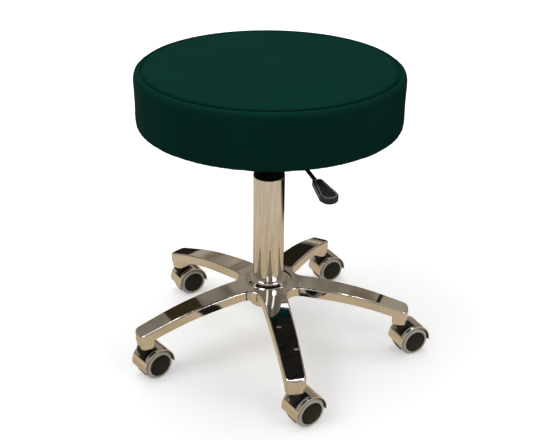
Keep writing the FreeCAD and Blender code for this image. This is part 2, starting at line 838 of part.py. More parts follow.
def cushion_solid(inset):
    """Round cushion inside the cover's outer form: drawn-in side, rolled top edge, crowned top."""
    side = seat_radius - inset
    bottom = seat_bottom + inset
    crest = seat_bottom + seat_thickness - inset
    edge = crest - seat_crown
    roll_start = edge - seat_top_roll + inset
    roll_radius = side - seat_top_roll_width
    corner_round = seat_bottom_round - inset
    corner_top = bottom + corner_round
    sag = math.sqrt(0.5)
    corner_start = Vector(side - corner_round, 0, bottom)
    corner_middle = Vector(side - corner_round * (1 - sag), 0, corner_top - corner_round * sag)
    side_low = Vector(side, 0, corner_top)
    side_middle = Vector(side - seat_draw_in, 0, (corner_top + roll_start) / 2)
    side_high = Vector(side, 0, roll_start)
    roll_middle = Vector(roll_radius + seat_top_roll_width * sag, 0, roll_start + (edge - roll_start) * sag)
    roll_end = Vector(roll_radius, 0, edge)
    edges = [Part.LineSegment(Vector(0, 0, bottom), corner_start).toShape(),
             Part.Arc(corner_start, corner_middle, side_low).toShape(),
             Part.Arc(side_low, side_middle, side_high).toShape(),
             Part.Arc(side_high, roll_middle, roll_end).toShape(),
             dome_arc(roll_radius, edge, crest),
             Part.LineSegment(Vector(0, 0, crest), Vector(0, 0, bottom)).toShape()]
    return Part.Face(Part.Wire(edges)).revolve(Vector(0, 0, 0), up, 360)


def seat_cover():
    """Vinyl cover: top panel sewn to a side band, with its lower edge turned under the board."""
    skin = cushion_solid(0).cut(cushion_solid(cover_thickness))
    opening = disc(seat_radius - cover_turn_under, seat_bottom, board_bottom)
    seam_radius = seat_radius - seam_inset
    dome_radius = seat_radius - seat_top_roll_width
    crest = seat_bottom + seat_thickness
    face = crest - seat_crown * (seam_radius / dome_radius) ** 2
    seam = turned([(seam_radius - seam_width / 2, crest), (seam_radius - seam_width / 2, face),
                   (seam_radius, face - seam_depth), (seam_radius + seam_width / 2, face),
                   (seam_radius + seam_width / 2, crest)])
    return skin.cut([opening, seam])


def board_radius():
    return seat_radius - seat_bottom_round - board_edge_gap


def seat_foam():
    """Foam pad on the board, with a skirt that pads the board's edge."""
    pad = cushion_solid(cover_thickness + fixed_clearance)
    below_skirt = disc(seat_radius, seat_bottom, board_bottom + seat_bottom_round)
    return pad.cut([below_skirt, disc(board_radius() + fixed_clearance, seat_bottom, board_top)])


def t_nut_sinks():
    sinks = []
    for x, y in bolt_places():
        sinks.append(disc(t_nut_radius + fixed_clearance, board_bottom, board_top, x, y))
        sinks.append(disc(t_nut_flange_radius + fixed_clearance, board_top - t_nut_flange_thickness,
                          board_top, x, y))
    return sinks


def seat_board():
    return disc(board_radius(), board_bottom, board_top).cut(t_nut_sinks())


def t_nuts():
    """Flanged nuts let into the board's top."""
    bore = bolt_diameter / 2 + running_clearance
    flange_bottom = board_top - t_nut_flange_thickness
    nut = turned([(bore, board_bottom), (t_nut_radius, board_bottom), (t_nut_radius, flange_bottom),
                  (t_nut_flange_radius, flange_bottom), (t_nut_flange_radius, board_top),
                  (bore, board_top)])
    return Part.makeCompound([moved(nut, x, y) for x, y in bolt_places()])


def seat_bolts():
    """Hexagon bolts from below through the plate into the nuts."""
    flange_bottom = seat_bottom - plate_thickness
    side_step = 2 * math.pi / bolt_head_sides
    corner_radius = bolt_head_width / 2 / math.cos(side_step / 2)
    corners = [(corner_radius * math.cos(index * side_step), corner_radius * math.sin(index * side_step), 0)
               for index in range(bolt_head_sides)]
    head = plan_prism(corners, flange_bottom - bolt_head_height, flange_bottom)
    shank = disc(bolt_diameter / 2, flange_bottom, board_top - free_clearance)
    bolt = fused([head, shank])
    return Part.makeCompound([moved(bolt, x, y) for x, y in bolt_places()])


def dust_cover():
    """Black cloth under the board, inside the cover's turned edge."""
    radius = seat_radius - cover_turn_under - fixed_clearance
    cloth = disc(radius, seat_bottom, board_bottom)
    return cloth.cut([disc(bolt_diameter / 2 + bolt_hole_clearance, seat_bottom, board_bottom, x, y)
                      for x, y in bolt_places()])


# All pieces

os.makedirs("parts", exist_ok=True)

save("base_star", base_star())
stems = [at_leg(caster_stem(), leg_angle, 0) for leg_angle in leg_angles]
save("caster_stems", Part.makeCompound(stems))
grip_rings = [at_leg(stem_grip_ring(), leg_angle, 0) for leg_angle in leg_angles]
save("stem_grip_rings", Part.makeCompound(grip_rings))

caster_pieces = {"core": caster_core(), "hood": caster_hood(), "axle": caster_axle()}
for side, side_name in ((-1, "left"), (1, "right")):
    caster_pieces["hub_" + side_name] = on_axle(wheel_hub(), side)
    caster_pieces["tread_" + side_name] = on_axle(wheel_tread(), side)
for index in range(leg_count):
    for piece_name, piece in caster_pieces.items():
        placed = at_leg(piece, leg_angles[index], caster_headings[index % len(caster_headings)])
        save("caster_%d_%s" % (index + 1, piece_name), placed)

save("column_tube", column_tube())
save("guide_bushing", guide_bushing())
save("thrust_race_lower", thrust_race(column_floor_top))
save("thrust_rollers", thrust_rollers())
save("thrust_race_upper", thrust_race(upper_race_bottom))
save("piston_rod", piston_rod())
save("rod_clip", rod_clip())
save("gas_cylinder", gas_cylinder())
save("cylinder_gland", cylinder_gland())
save("valve_button", valve_button())

save("column_shroud", column_shroud())
save("cone_socket", cone_socket())
save("seat_plate", in_seat(seat_plate()))
save("lever_rod", in_seat(lever_rod()))
save("lever_trunnion", in_seat(lever_trunnion()))
save("lever_paddle", in_seat(lever_paddle()))

save("seat_board", in_seat(seat_board()))
save("t_nuts", in_seat(t_nuts()))
save("seat_bolts", in_seat(seat_bolts()))
save("seat_foam", seat_foam())
save("seat_cover", seat_cover())
save("dust_cover", in_seat(dust_cover()))

print("leg underside %.2f, hub top %.2f, column top %.2f" % (leg_underside, hub_top, column_top))
print("seat underside %.2f, seat top %.2f" % (seat_bottom, seat_bottom + seat_thickness))
print("lever pivot %.2f out, %.2f up" % (lever_pivot_reach, lever_pivot_height))
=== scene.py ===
# %% [markdown]
# # A rolling stool, dressed for its portrait
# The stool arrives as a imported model: every solid already sits in its place, in metres, on the floor
# plane. This lesson keeps those places and gives each visible piece its finish. The bright pieces are
# rebuilt with rounded edges, because a mirror shows every hard corner, and the cushion is inflated as
# cloth, because a padded seat is never a perfect drum.

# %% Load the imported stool
import json
import math

import bpy
from mathutils import Matrix, Quaternion, Vector


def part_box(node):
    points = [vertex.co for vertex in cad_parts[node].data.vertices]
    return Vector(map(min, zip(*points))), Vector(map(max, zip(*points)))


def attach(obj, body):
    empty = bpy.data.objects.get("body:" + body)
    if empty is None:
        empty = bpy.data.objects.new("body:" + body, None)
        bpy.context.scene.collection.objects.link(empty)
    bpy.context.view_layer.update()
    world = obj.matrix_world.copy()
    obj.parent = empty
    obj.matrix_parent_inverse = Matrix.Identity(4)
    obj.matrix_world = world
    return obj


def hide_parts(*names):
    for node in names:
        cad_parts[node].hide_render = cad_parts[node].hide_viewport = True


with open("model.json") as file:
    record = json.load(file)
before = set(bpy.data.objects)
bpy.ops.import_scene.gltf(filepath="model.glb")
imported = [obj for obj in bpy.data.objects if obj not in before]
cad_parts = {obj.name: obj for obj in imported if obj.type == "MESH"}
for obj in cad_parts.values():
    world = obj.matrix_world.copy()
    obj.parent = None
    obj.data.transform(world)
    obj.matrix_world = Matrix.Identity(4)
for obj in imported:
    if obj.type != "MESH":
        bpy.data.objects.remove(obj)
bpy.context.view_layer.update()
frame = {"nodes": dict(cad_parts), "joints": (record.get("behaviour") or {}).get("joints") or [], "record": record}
scene = bpy.context.scene
scene.view_settings.view_transform = "Standard"
nodes = frame["nodes"]
node_slot = {part["node"]: part["material_slot"] for part in frame["record"]["subparts"]}
body_of_node = {}
for body_name, members in frame["record"]["behaviour"]["bodies"].items():
    for member in members:
        body_of_node[member] = body_name

# %% [markdown]
# ## The camera
# The photograph looks down on the stool from a little above the seat. A long lens keeps the seat's
# ellipse calm. The camera is aimed at a point on the column, and rolled by a fraction of a degree, as a
# hand-held camera is.

# %% Place the camera
camera_target = Vector((0.0020, 0.0, 0.2318))
camera_distance = 1.447
camera_elevation = math.radians(27.08)
camera_roll = math.radians(0.61)
photo_width = 540
focal_pixels = 899
camera_data = bpy.data.cameras.new("portrait_camera")
camera_data.sensor_width = 36
camera_data.lens = focal_pixels / photo_width * camera_data.sensor_width
camera = bpy.data.objects.new("portrait_camera", camera_data)
scene.collection.objects.link(camera)
outward = Vector((0, -math.cos(camera_elevation), math.sin(camera_elevation)))
camera.location = camera_target + outward * camera_distance
aim = (-outward).to_track_quat("-Z", "Y")
camera.rotation_mode = "QUATERNION"
camera.rotation_quaternion = aim @ Quaternion((0, 0, 1), camera_roll)
scene.camera = camera
print("camera at", [round(value, 3) for value in camera.location])

# %% [markdown]
# ## Modelling helpers
# Operators act on whatever is selected, so each step starts by clearing the selection and choosing one
# piece. A lathe is the most useful tool here: a single point is extruded along half of a section and
# then spun about the upright axis, as a turner would shape it.

# %% Helpers for choosing and turning
millimetre = 0.001
merge_gap = millimetre / 100
turn_steps = 96


def clear_choice():
    if bpy.context.object is not None and bpy.context.object.mode != "OBJECT":
        bpy.ops.object.mode_set(mode="OBJECT")
    bpy.ops.object.select_all(action="DESELECT")


def choose(piece):
    clear_choice()
    piece.select_set(True)
    bpy.context.view_layer.objects.active = piece


def start_point(name, place):
    """A new piece of a single point, its place in millimetres, left open in edit mode."""
    clear_choice()
    bpy.ops.mesh.primitive_plane_add(size=millimetre)
    piece = bpy.context.object
    piece.name = name
    bpy.ops.object.mode_set(mode="EDIT")
    bpy.ops.mesh.select_all(action="SELECT")
    bpy.ops.mesh.merge(type="CENTER")
    bpy.ops.transform.translate(value=place * millimetre)
    return piece


def close_shell():
    """Merge the doubled points of the piece in edit mode, turn its faces outwards and leave edit mode."""
    bpy.ops.mesh.select_all(action="SELECT")
    bpy.ops.mesh.remove_doubles(threshold=merge_gap)
    bpy.ops.mesh.normals_make_consistent(inside=False)
    bpy.ops.object.mode_set(mode="OBJECT")


def lathe(name, section, closed=True):
    """Spin a section of (radius, height) points, in millimetres, about Z."""
    points = list(section)
    if closed:
        points.append(section[0])
    piece = start_point(name, Vector((section[0][0], 0, section[0][1])))
    for before, point in zip(points, points[1:]):
        step = Vector((point[0] - before[0], 0, point[1] - before[1])) * millimetre
        bpy.ops.mesh.extrude_region_move(TRANSFORM_OT_translate={"value": step})
    bpy.ops.mesh.select_all(action="SELECT")
    bpy.ops.mesh.spin(steps=turn_steps, angle=2 * math.pi, center=(0, 0, 0), axis=(0, 0, 1))
    close_shell()
    return piece


print("turning helpers ready, with", turn_steps, "steps round")

# %% [markdown]
# Every piece is finished in the same way. Modifiers are added and applied at once, edges are rounded,
# and the shading is smoothed. Each piece then says what it rides on, which finish it takes and which
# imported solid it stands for.

# %% Helpers for finishing a piece
weld_gap = millimetre / 500
flat_angle = math.radians(0.5)


def use_modifier(piece, kind, **settings):
    """Add one modifier with its settings and apply it."""
    choose(piece)
    modifier = piece.modifiers.new(kind.lower(), kind)
    for key, value in settings.items():
        setattr(modifier, key, value)
    bpy.ops.object.modifier_apply(modifier=modifier.name)


def round_edges(piece, width, segments=3, angle=30):
    use_modifier(piece, "BEVEL", width=width * millimetre, segments=segments, limit_method="ANGLE",
                 angle_limit=math.radians(angle), use_clamp_overlap=True, miter_outer="MITER_ARC")


def smooth(piece, angle=35):
    choose(piece)
    bpy.ops.object.shade_smooth_by_angle(angle=math.radians(angle))
    use_modifier(piece, "WEIGHTED_NORMAL", keep_sharp=True, weight=100)


def set_mesh_place(piece, matrix):
    """Move a finished piece by its mesh, so that the object itself stays at the origin."""
    piece.data.transform(matrix)
    piece.data.update()


def copied(piece, name):
    twin = piece.copy()
    twin.data = piece.data.copy()
    twin.name = name
    scene.collection.objects.link(twin)
    return twin


def fit_out(piece, body, finish, slot, *stands_for):
    """Give a piece its finish, hang it from its body's empty and hide the imported solids it stands for."""
    piece.data.materials.clear()
    piece.data.materials.append(finish)
    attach(piece, body)
    if stands_for:
        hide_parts(*stands_for)


def eased_copy(node_name, edge_round):
    """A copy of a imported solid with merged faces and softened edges."""
    piece = copied(nodes[node_name], node_name + "_eased")
    for key in list(piece.keys()):
        del piece[key]
    piece.parent = None
    piece.matrix_world = Matrix.Identity(4)
    choose(piece)
    bpy.ops.object.mode_set(mode="EDIT")
    bpy.ops.mesh.select_all(action="SELECT")
    bpy.ops.mesh.remove_doubles(threshold=weld_gap)
    bpy.ops.mesh.dissolve_limited(angle_limit=flat_angle)
    bpy.ops.object.mode_set(mode="OBJECT")
    if edge_round > 0:
        round_edges(piece, edge_round, segments=2)
    smooth(piece)
    return piece


print("finishing helpers ready for", len(nodes), "packed solids")

# %% [markdown]
# ## Shared surface effects
# Real finishes are never even. Three small node groups supply what changes over a surface: a cloudy
# smudge that varies tone and gloss, a fine moulded grain and a plain weave. The last two become bump
# height, and each material places them with its own scale.

# %% Helpers for node trees


def link(tree, source, target):
    tree.links.new(source, target)


def feed(tree, value, socket):
    """Set a socket to a number or a colour, or link another socket to it."""
    if isinstance(value, tuple):
        socket.default_value = (*value, 1)
    elif isinstance(value, (int, float)):
        socket.default_value = value
    else:
        link(tree, value, socket)


def new_group(name, inputs, outputs):
    group = bpy.data.node_groups.new(name, "ShaderNodeTree")
    for socket_name, kind, default in inputs:
        socket = group.interface.new_socket(socket_name, in_out="INPUT", socket_type=kind)
        socket.default_value = default
    for socket_name, kind in outputs:
        group.interface.new_socket(socket_name, in_out="OUTPUT", socket_type=kind)
    entry = group.nodes.new("NodeGroupInput")
    leave = group.nodes.new("NodeGroupOutput")
    return group, entry, leave


def noise(tree, vector, scale, detail, roughness):
    node = tree.nodes.new("ShaderNodeTexNoise")
    node.inputs["Detail"].default_value = detail
    node.inputs["Roughness"].default_value = roughness
    link(tree, vector, node.inputs["Vector"])
    feed(tree, scale, node.inputs["Scale"])
    return node.outputs["Fac"]


def spread(tree, value, low, high, to_low=0.0, to_high=1.0):
    """Stretch the values between low and high to another range."""
    node = tree.nodes.new("ShaderNodeMapRange")
    node.inputs["From Min"].default_value = low
    node.inputs["From Max"].default_value = high
    link(tree, value, node.inputs["Value"])
    feed(tree, to_low, node.inputs["To Min"])
    feed(tree, to_high, node.inputs["To Max"])
    return node.outputs["Result"]


def maths(tree, operation, first, second):
    node = tree.nodes.new("ShaderNodeMath")
    node.operation = operation
    link(tree, first, node.inputs[0])
    link(tree, second, node.inputs[1])
    return node.outputs["Value"]


def mixed(tree, mask, first, second, blend="MIX"):
    """Mix two colours, or two sockets that give colours, by a mask."""
    node = tree.nodes.new("ShaderNodeMix")
    node.data_type = "RGBA"
    node.blend_type = blend
    feed(tree, mask, node.inputs["Factor"])
    feed(tree, first, node.inputs["A"])
    feed(tree, second, node.inputs["B"])
    return node.outputs["Result"]


print("node helpers ready")

# %% Node groups for smudges, grain and weave
number_kind = "NodeSocketFloat"
place_input = ("Vector", "NodeSocketVector", (0, 0, 0))
height_output = ("Height", number_kind)
smudge_group, entry, leave = new_group(
    "cloudy_smudge",
    [place_input, ("Scale", number_kind, 12.0), ("Low", number_kind, 0.0), ("High", number_kind, 1.0)],
    [("Value", number_kind)])
cloud = noise(smudge_group, entry.outputs["Vector"], entry.outputs["Scale"], detail=4.0, roughness=0.6)
smudge = spread(smudge_group, cloud, low=0.35, high=0.68, to_low=entry.outputs["Low"],
                to_high=entry.outputs["High"])
link(smudge_group, smudge, leave.inputs["Value"])

grain_group, entry, leave = new_group("fine_grain", [place_input, ("Scale", number_kind, 900.0)],
                                      [height_output])
pebbles = grain_group.nodes.new("ShaderNodeTexVoronoi")
pebbles.feature = "SMOOTH_F1"
pebbles.inputs["Smoothness"].default_value = 0.6
for key in ("Vector", "Scale"):
    link(grain_group, entry.outputs[key], pebbles.inputs[key])
link(grain_group, pebbles.outputs["Distance"], leave.inputs["Height"])

weave_group, entry, leave = new_group("plain_weave", [place_input, ("Scale", number_kind, 200.0)],
                                      [height_output])
threads = []
for direction in ("X", "Y"):
    thread = weave_group.nodes.new("ShaderNodeTexWave")
    thread.bands_direction = direction
    thread.inputs["Distortion"].default_value = 0.4
    for key in ("Vector", "Scale"):
        link(weave_group, entry.outputs[key], thread.inputs[key])
    threads.append(thread.outputs["Fac"])
link(weave_group, maths(weave_group, "MAXIMUM", *threads), leave.inputs["Height"])
print("node groups", [group.name for group in bpy.data.node_groups])

# %% [markdown]
# ## The finishes
# The stool has five finishes that show: dark green vinyl, mirror chrome, black moulded plastic, grey
# tread and black coated steel. Under the seat there are plain steel, a woven lining, plywood and foam.
# Every one reads object coordinates, so the pattern keeps its real size on every piece.

# %% A material with its shader and coordinates
gloss_cloud_ratio = 2.3


def put_group(tree, group, place, **values):
    node = tree.nodes.new("ShaderNodeGroup")
    node.node_tree = group
    link(tree, place, node.inputs["Vector"])
    for key, value in values.items():
        node.inputs[key].default_value = value
    return node.outputs[0]


def bump(tree, shader, height, depth):
    node = tree.nodes.new("ShaderNodeBump")
    node.inputs["Distance"].default_value = depth * millimetre
    link(tree, height, node.inputs["Height"])
    link(tree, node.outputs["Normal"], shader.inputs["Normal"])


def even_finish(name, dark, light, gloss, specular=0.5, metal=0.0, cloud_scale=14.0, grain_scale=900.0,
                grain_depth=0.02, relief=grain_group, painted_inside_shade=None):
    """A finish with two close tones, a range of gloss and a fine relief, and perhaps a dull inside painted dark as
    shade.
    """
    finish = bpy.data.materials.new(name)
    finish.use_nodes = True
    tree = finish.node_tree
    shader = tree.nodes["Principled BSDF"]
    place = tree.nodes.new("ShaderNodeTexCoord").outputs["Object"]
    colour = mixed(tree, put_group(tree, smudge_group, place, Scale=cloud_scale), dark, light)
    shader.inputs["Metallic"].default_value = metal
    if painted_inside_shade is not None:
        inside = tree.nodes.new("ShaderNodeAttribute")
        inside.attribute_name = "inside"
        colour = mixed(tree, inside.outputs["Fac"], colour, painted_inside_shade)
        bare_metal = spread(tree, inside.outputs["Fac"], low=0.0, high=1.0, to_low=metal, to_high=0.0)
        link(tree, bare_metal, shader.inputs["Metallic"])
    link(tree, colour, shader.inputs["Base Color"])
    shine = put_group(tree, smudge_group, place, Scale=cloud_scale * gloss_cloud_ratio, Low=gloss[0],
                      High=gloss[1])
    link(tree, shine, shader.inputs["Roughness"])
    shader.inputs["Specular IOR Level"].default_value = specular
    bump(tree, shader, put_group(tree, relief, place, Scale=grain_scale), grain_depth)
    return finish


print("materials start from", len(bpy.data.node_groups), "shared groups")

# %% [markdown]
# Each finish is two close tones, a range of roughness and a relief. Chrome has almost no relief, only
# the faint waviness of polished castings. The caster hoods share it outside and are dull inside, with
# painted shade making them dark there. The black sleeve under the seat is darkened by painted shade.
# Vinyl has a fine grain, and the lever's lip is black plastic coloured pale as a painted highlight.

# %% Mix the finishes
chrome_look = {"dark": (0.78, 0.765, 0.74), "light": (0.83, 0.82, 0.80), "gloss": (0.02, 0.07), "metal": 1.0,
               "cloud_scale": 9.0, "grain_scale": 55.0, "grain_depth": 0.006}
# The hoods' inside faces are dull, and painted dark as shade in the gap between hood and wheels.
hood_chrome = even_finish("hood_chrome", specular=0.2, painted_inside_shade=(0.012, 0.011, 0.010), **chrome_look)
satin_black = even_finish("satin_black_paddle", (0.020, 0.020, 0.020), (0.028, 0.028, 0.028), (0.28, 0.38),
                          specular=0.25, cloud_scale=60.0, grain_scale=1800.0, grain_depth=0.015)
# Painted highlight: the lever's lip is a pale grey that stands in for the light its rim catches.
painted_highlight_black = even_finish("painted_highlight_rim", (0.15, 0.15, 0.147), (0.28, 0.28, 0.275), (0.2, 0.3),
                         cloud_scale=120.0, grain_scale=1800.0, grain_depth=0.01)
# Painted shade: the shroud under the seat gets a black far darker than the coated steel, for the seat's shadow on
# it.
painted_shade_black = even_finish("painted_shade_black_sleeve", (0.0015, 0.0015, 0.0022), (0.0022, 0.0022, 0.003),
                          (0.45, 0.55), specular=0.02, grain_scale=1500.0)
finishes = {
    "chrome": even_finish("mirror_chrome", **chrome_look),
    "green_vinyl": even_finish("dark_green_vinyl", (0.0030, 0.0255, 0.0195), (0.0037, 0.0300, 0.0235),
                               (0.50, 0.60), specular=0.003, cloud_scale=7.0, grain_scale=1100.0,
                               grain_depth=0.05),
    "black_plastic": even_finish("black_moulded_plastic", (0.010, 0.010, 0.010), (0.015, 0.015, 0.015),
                                 (0.30, 0.42), specular=0.22, grain_scale=1500.0, grain_depth=0.03),
    "grey_tread": even_finish("warm_grey_tread", (0.49, 0.465, 0.41), (0.56, 0.535, 0.48), (0.3, 0.4),
                              cloud_scale=40.0, grain_scale=700.0, grain_depth=0.03),
    "black_coated_steel": even_finish("black_coated_steel", (0.011, 0.011, 0.012), (0.016, 0.016, 0.017),
                                      (0.30, 0.42), specular=0.15, grain_scale=600.0),
    "bright_steel": even_finish("plain_bright_steel", (0.52, 0.51, 0.50), (0.62, 0.61, 0.60), (0.22, 0.36),
                                metal=1.0, cloud_scale=30.0, grain_scale=2000.0, grain_depth=0.01),
    "black_lining": even_finish("woven_black_lining", (0.011, 0.011, 0.011), (0.02, 0.02, 0.02), (0.75, 0.9),
                                specular=0.2, grain_scale=220.0, grain_depth=0.15, relief=weave_group),
    "plywood": even_finish("plain_plywood", (0.36, 0.24, 0.13), (0.48, 0.34, 0.2), (0.5, 0.65),
                           specular=0.3, cloud_scale=20.0),
    "foam": even_finish("open_cell_foam", (0.62, 0.55, 0.38), (0.7, 0.64, 0.47), (0.85, 0.95),
                        specular=0.1, grain_scale=600.0, grain_depth=0.3),
}
for node_name, node in nodes.items():
    node.data.materials.clear()
    node.data.materials.append(finishes[node_slot[node_name]])
print("finishes", sorted(finishes))

# %% [markdown]
# ## The seat cushion
# The real seat is foam on a round board, wrapped in vinyl: a round top panel is sewn to a straight side
# band. Foam pushes the vinyl out everywhere except at the board and at the seam. A turned drum, slightly
# too small, is remeshed and inflated as cloth with its lower edge and its seam held, which gives the soft
# crown and the bulging band that a drawn section would only imitate.

# %% Turn the cushion
seat_low, seat_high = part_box("seat_cover")
seat_radius = (seat_high.x - seat_low.x) / 2
seat_bottom = seat_low.z
seat_top = seat_high.z
voxel = 0.005
drum_side = seat_radius / millimetre - 0.4
drum_top = seat_top / millimetre - 0.9
drum_floor = seat_bottom / millimetre - 2.5
lining_edge = seat_radius / millimetre - 45
lining_recess = drum_floor + 7
drum_section = [(0, lining_recess), (lining_edge - 1, lining_recess), (lining_edge + 5, drum_floor + 0.5),
                (drum_side - 4, drum_floor), (drum_side - 0.8, drum_floor + 1.2), (drum_side, drum_floor + 5),
                (drum_side - 0.8, drum_floor + 40), (drum_side, drum_top - 10),
                (drum_side - 1.2, drum_top - 5), (drum_side - 4, drum_top - 1.8),
                (drum_side - 9, drum_top - 0.4), (drum_side - 40, drum_top + 0.6), (0, drum_top + 1.2)]
cushion = lathe("seat_cushion", drum_section, closed=False)
cushion_start = len(cushion.data.vertices)
use_modifier(cushion, "REMESH", mode="VOXEL", voxel_size=voxel, use_smooth_shade=True)
use_modifier(cushion, "SMOOTH", factor=0.5, iterations=4)
print("cushion points", cushion_start, "to", len(cushion.data.vertices))

# %% Inflate the cushion
held_height = 0.010
seam_radius = seat_radius - 0.0125
seam_height = seat_top - 0.0027
seam_hold = 0.011
most_swell = 0.003


def seam_gap(point):
    """Distance of a point from the circle where the top panel is sewn to the band."""
    return math.hypot(math.hypot(point.x, point.y) - seam_radius, point.z - seam_height)


def is_held(point):
    return point.z < seat_bottom + held_height or seam_gap(point) < seam_hold


def inflate(piece, most_move, pressure=4.0, frames=20):
    """Blow a closed mesh up as cloth, with its held points still and no point moving too far."""
    group = piece.vertex_groups.new(name="held")
    group.add([v.index for v in piece.data.vertices if is_held(v.co)], 1.0, "REPLACE")
    before = [v.co.copy() for v in piece.data.vertices]
    cloth = piece.modifiers.new("cloth", "CLOTH")
    cloth.settings.use_pressure = True
    cloth.settings.uniform_pressure_force = pressure
    cloth.settings.effector_weights.gravity = 0
    cloth.settings.vertex_group_mass = "held"
    for number in range(1, frames + 1):
        scene.frame_set(number)
    choose(piece)
    bpy.ops.object.modifier_apply(modifier=cloth.name)
    for vertex, start in zip(piece.data.vertices, before):
        move = vertex.co - start
        if move.length > most_move:
            vertex.co = start + move.normalized() * most_move
    scene.frame_set(1)
    piece.vertex_groups.clear()


inflate(cushion, most_swell)
use_modifier(cushion, "SMOOTH", factor=0.5, iterations=4)
use_modifier(cushion, "SUBSURF", levels=1, render_levels=1)
print("cushion points", len(cushion.data.vertices),
      "crest", round(max(v.co.z for v in cushion.data.vertices), 4))

# %% [markdown]
# The seam is where the top panel meets the band. The thread pulls the vinyl in, so the points close to
# the seam sink, and the folded edge of the vinyl on each side of the thread stands up as a thin bead.

# %% Draw in the seam and add its folded edges
seam_reach = 0.004
seam_pull = 0.0010
fold_offset = 0.0017
fold_radius = 0.0011
seam_level = max(v.co.z for v in cushion.data.vertices if seam_gap(v.co) < 2 * seam_reach)
for vertex in cushion.data.vertices:
    if vertex.co.z > seat_bottom + held_height:
        across = math.hypot(vertex.co.x, vertex.co.y) - seam_radius
        vertex.co.z -= seam_pull * math.exp(-(across / seam_reach) ** 2)
choose(cushion)
bpy.ops.object.shade_smooth()
fit_out(cushion, "seat", finishes["green_vinyl"], "green_vinyl", "seat_cover", "seat_foam")
for fold_name, offset in (("seat_seam_inner_fold", -fold_offset), ("seat_seam_outer_fold", fold_offset)):
    clear_choice()
    bpy.ops.mesh.primitive_torus_add(major_radius=seam_radius + offset, minor_radius=fold_radius,
                                     major_segments=240, minor_segments=10,
                                     location=(0, 0, seam_level - seam_pull))
    fold = bpy.context.object
    fold.name = fold_name
    choose(fold)
    bpy.ops.object.transform_apply(location=True, rotation=True, scale=True)
    bpy.ops.object.shade_smooth()
    fit_out(fold, "seat", finishes["green_vinyl"], "green_vinyl")
print("seam at radius", round(seam_radius, 4), "height", round(seam_level, 4))

# %% [markdown]
# ## The column
# The outer tube of the lift is drawn steel, polished and chromed. It is turned in one go, with its rim
# rounded over, so that the reflections run down it in clean streaks. A low bead closes the joint where
# it enters the base.

# %% Turn the column tube
tube_low, tube_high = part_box("column_tube")
tube_radius = (tube_high.x - tube_low.x) / 2 / millimetre
tube_bore = tube_radius - 1.5
tube_foot = tube_radius - 0.7
tube_bottom = tube_low.z / millimetre
tube_floor = tube_bottom + 3
tube_top = tube_high.z / millimetre
rod_hole = 6.0
taper_end = 122.0
foot_bead = [(3.6, 2.0), (3.5, 4.2), (2.9, 5.8), (1.9, 7.0), (0.8, 7.7), (0, 8.0)]
tube_outside = [(tube_foot, tube_bottom), (tube_radius, taper_end), (tube_radius, taper_end + 1.5)]
tube_outside += [(tube_radius + out, taper_end + up) for out, up in foot_bead]
tube_inside = [(tube_radius, tube_top), (tube_bore, tube_top), (tube_bore, taper_end),
               (tube_bore, tube_floor), (rod_hole, tube_floor), (rod_hole, tube_bottom)]
column = lathe("polished_column", tube_outside + tube_inside)
round_edges(column, width=0.6, angle=40)
smooth(column)
fit_out(column, "base", finishes["chrome"], "chrome", "column_tube")
print("column", round(tube_bottom, 1), "to", round(tube_top, 1), "mm")

# %% [markdown]
# ## The lever's lip
# The lever's finger plate has a shallow recess in its top. The lip round it is coloured pale grey as a
# painted highlight line. The recess's own outline is kept from a copy of the plate and swept as a thin bead.

# %% Sweep the lip round the paddle's recess
lip_radius = 0.7
lip = eased_copy("lever_paddle", edge_round=0)
lip.name = "paddle_recess_lip"
recess_floor = max(lip.data.polygons, key=lambda face: face.normal.z * face.area)
lip_rise = recess_floor.normal * lip_radius * millimetre
floor_index = recess_floor.index
choose(lip)
bpy.ops.object.mode_set(mode="EDIT")
bpy.ops.mesh.select_mode(type="FACE")
bpy.ops.mesh.select_all(action="DESELECT")
bpy.ops.object.mode_set(mode="OBJECT")
lip.data.polygons[floor_index].select = True
bpy.ops.object.mode_set(mode="EDIT")
bpy.ops.mesh.select_all(action="INVERT")
bpy.ops.mesh.delete(type="FACE")
bpy.ops.mesh.select_all(action="SELECT")
bpy.ops.mesh.delete(type="ONLY_FACE")
bpy.ops.mesh.select_mode(type="VERT")
bpy.ops.object.mode_set(mode="OBJECT")
bpy.ops.object.convert(target="CURVE")
lip.data.bevel_depth = lip_radius * millimetre
lip.data.bevel_resolution = 2
bpy.ops.object.convert(target="MESH")
set_mesh_place(lip, Matrix.Translation(lip_rise))
bpy.ops.object.shade_smooth()
# The lip takes the pale grey of a painted highlight.
fit_out(lip, "lever", painted_highlight_black, "black_plastic")
print("lip faces", len(lip.data.polygons))

# %% [markdown]
# ## Base, casters' cores and the other hard pieces
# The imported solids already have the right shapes, but their edges are knife sharp. A copy of each is
# merged, its flat faces are joined, and its edges are bevelled by a fraction of a millimetre, so that
# each corner catches a thin line of light.

# %% Ease the edges of the visible solids
caster_count = 5
eased_nodes = {"base_star": 0.5, "column_shroud": 0.5, "lever_paddle": 0.35, "lever_rod": 0.3,
               "seat_plate": 0.3, "cone_socket": 0.3, "guide_bushing": 0.2, "caster_stems": 0.2,
               "gas_cylinder": 0.2}
for number in range(1, caster_count + 1):
    eased_nodes["caster_%d_core" % number] = 0.4
for node_name, edge_round in eased_nodes.items():
    piece = eased_copy(node_name, edge_round)
    slot = node_slot[node_name]
    # The shroud takes the black darkened with painted shade; the paddle takes satin black.
    finish = {"column_shroud": painted_shade_black, "lever_paddle": satin_black}.get(node_name, finishes[slot])
    fit_out(piece, body_of_node[node_name], finish, slot, node_name)
print("eased", len(eased_nodes), "pieces")

# %% [markdown]
# ## Caster hoods
# Each caster wears a chromed steel hood: a strip bent round the wheels, with a window for the stem's
# boss. The strip is one edge spun about the axle and thickened inwards.

